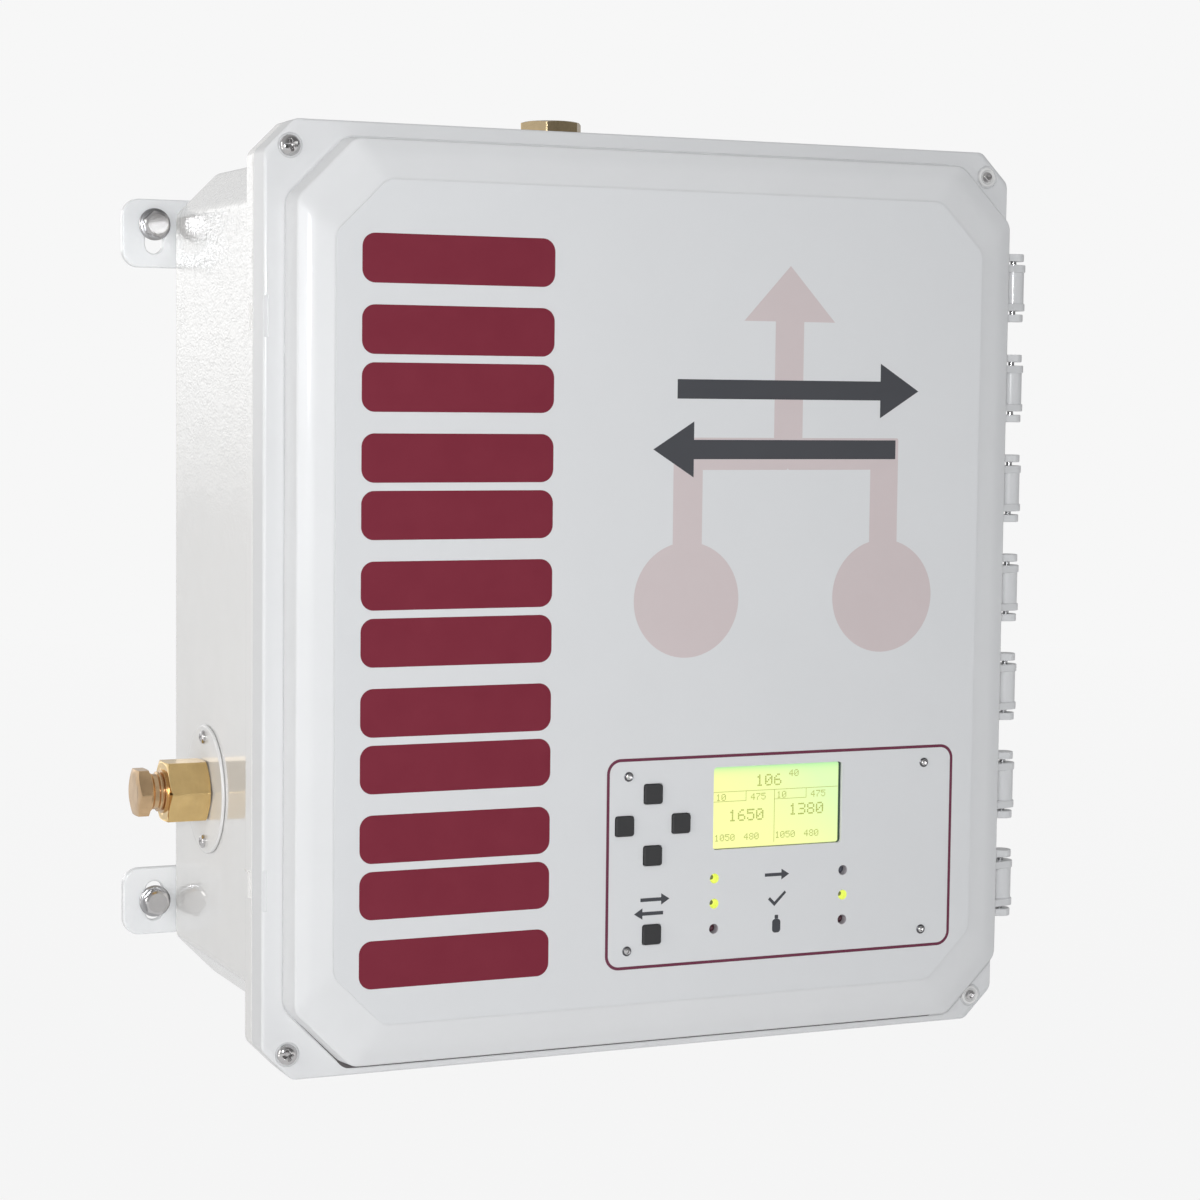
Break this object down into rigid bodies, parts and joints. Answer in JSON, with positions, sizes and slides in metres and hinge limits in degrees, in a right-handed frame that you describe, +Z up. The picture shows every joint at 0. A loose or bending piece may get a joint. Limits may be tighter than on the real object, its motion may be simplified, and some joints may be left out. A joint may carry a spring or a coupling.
{
  "type": "automatic changeover regulator",
  "caption": "Wall cabinet with a hinged lid, a display and keys that switches between two gas banks, with an inlet on each side and an outlet on top.",
  "frame": {"origin": "in the wall plane, behind the middle of the cabinet", "axes": "+X to the right seen from the front, +Y into the wall, +Z up"},
  "size_m": [0.4372, 0.215, 0.4462],
  "materials": {
    "moulded_shell": "smooth grey-white fibreglass",
    "printed_film": "satin printed film",
    "seal_foam": "closed-cell foam",
    "pale_polymer": "satin moulded",
    "stainless": "bright",
    "plated_sheet": "zinc plated",
    "brass": "machined",
    "copper": "drawn copper pipe",
    "cover_paint": "gloss",
    "key_rubber": "matte",
    "display_cell": "yellow-green liquid-crystal cell",
    "circuit_board": "solder mask",
    "black_plastic": "moulded",
    "clear_acrylic": "clear",
    "aluminium": "brushed"
  },
  "bodies": {
    "cabinet": {"body_shell": "moulded_shell", "hinge_pin_1": "stainless", "hinge_pin_2": "stainless", "hinge_pin_3": "stainless", "hinge_pin_4": "stainless", "hinge_pin_5": "stainless", "hinge_pin_6": "stainless", "hinge_pin_7": "stainless", "foot_top_left": "pale_polymer", "foot_top_right": "pale_polymer", "foot_bottom_left": "pale_polymer", "foot_bottom_right": "pale_polymer", "wall_bolt_top_left": "stainless", "wall_bolt_top_right": "stainless", "wall_bolt_bottom_left": "stainless", "wall_bolt_bottom_right": "stainless", "inlet_cover_left": "cover_paint", "inlet_cover_right": "cover_paint", "inlet_fitting_left": "brass", "inlet_fitting_right": "brass", "inlet_plug_left": "brass", "inlet_plug_right": "brass", "outlet_fitting": "brass", "mounting_plate": "plated_sheet", "inlet_block_left": "brass", "inlet_block_right": "brass", "shutoff_valve_left": "brass", "shutoff_valve_right": "brass", "solenoid_coil_left": "black_plastic", "solenoid_coil_right": "black_plastic", "pressure_sensor_left": "stainless", "pressure_sensor_right": "stainless", "pressure_sensor_outlet": "stainless", "outlet_tee": "brass", "line_regulator": "brass", "bank_pipe_left": "copper", "bank_pipe_right": "copper", "riser_pipe": "copper", "outlet_pipe": "copper", "power_supply": "aluminium", "terminal_block": "pale_polymer"},
    "lid": {"lid_shell": "moulded_shell", "front_overlay": "printed_film", "lid_gasket": "seal_foam", "lid_screw_top_left": "stainless", "lid_screw_top_right": "stainless", "lid_screw_bottom_left": "stainless", "lid_screw_bottom_right": "stainless", "display_glass": "display_cell", "display_frame": "aluminium", "control_board": "circuit_board", "light_pipe_left": "clear_acrylic", "light_pipe_right": "clear_acrylic"},
    "knob": {"regulator_knob": "black_plastic"},
    "up_key": {"key_up": "key_rubber"},
    "left_key": {"key_left": "key_rubber"},
    "right_key": {"key_right": "key_rubber"},
    "down_key": {"key_down": "key_rubber"},
    "bank_key": {"key_bank": "key_rubber"}
  },
  "joints": [
    {"name": "lid_hinge", "type": "hinge", "parent": "cabinet", "child": "lid", "pos_m": [0.2045, -0.179, 0], "axis": [0, 0, 1], "range_deg": [0, 180]},
    {"name": "knob_turn", "type": "hinge", "parent": "cabinet", "child": "knob", "pos_m": [0, -0.1033, 0.02], "axis": [0, 1, 0], "range_deg": [-540, 540]},
    {"name": "up_key_press", "type": "slide", "parent": "lid", "child": "up_key", "axis": [0, 1, 0], "range_m": [0, 0.001], "stiffness_N_per_m": 300, "springref_m": -0.002},
    {"name": "left_key_press", "type": "slide", "parent": "lid", "child": "left_key", "axis": [0, 1, 0], "range_m": [0, 0.001], "stiffness_N_per_m": 300, "springref_m": -0.002},
    {"name": "right_key_press", "type": "slide", "parent": "lid", "child": "right_key", "axis": [0, 1, 0], "range_m": [0, 0.001], "stiffness_N_per_m": 300, "springref_m": -0.002},
    {"name": "down_key_press", "type": "slide", "parent": "lid", "child": "down_key", "axis": [0, 1, 0], "range_m": [0, 0.001], "stiffness_N_per_m": 300, "springref_m": -0.002},
    {"name": "bank_key_press", "type": "slide", "parent": "lid", "child": "bank_key", "axis": [0, 1, 0], "range_m": [0, 0.001], "stiffness_N_per_m": 300, "springref_m": -0.002}
  ]
}
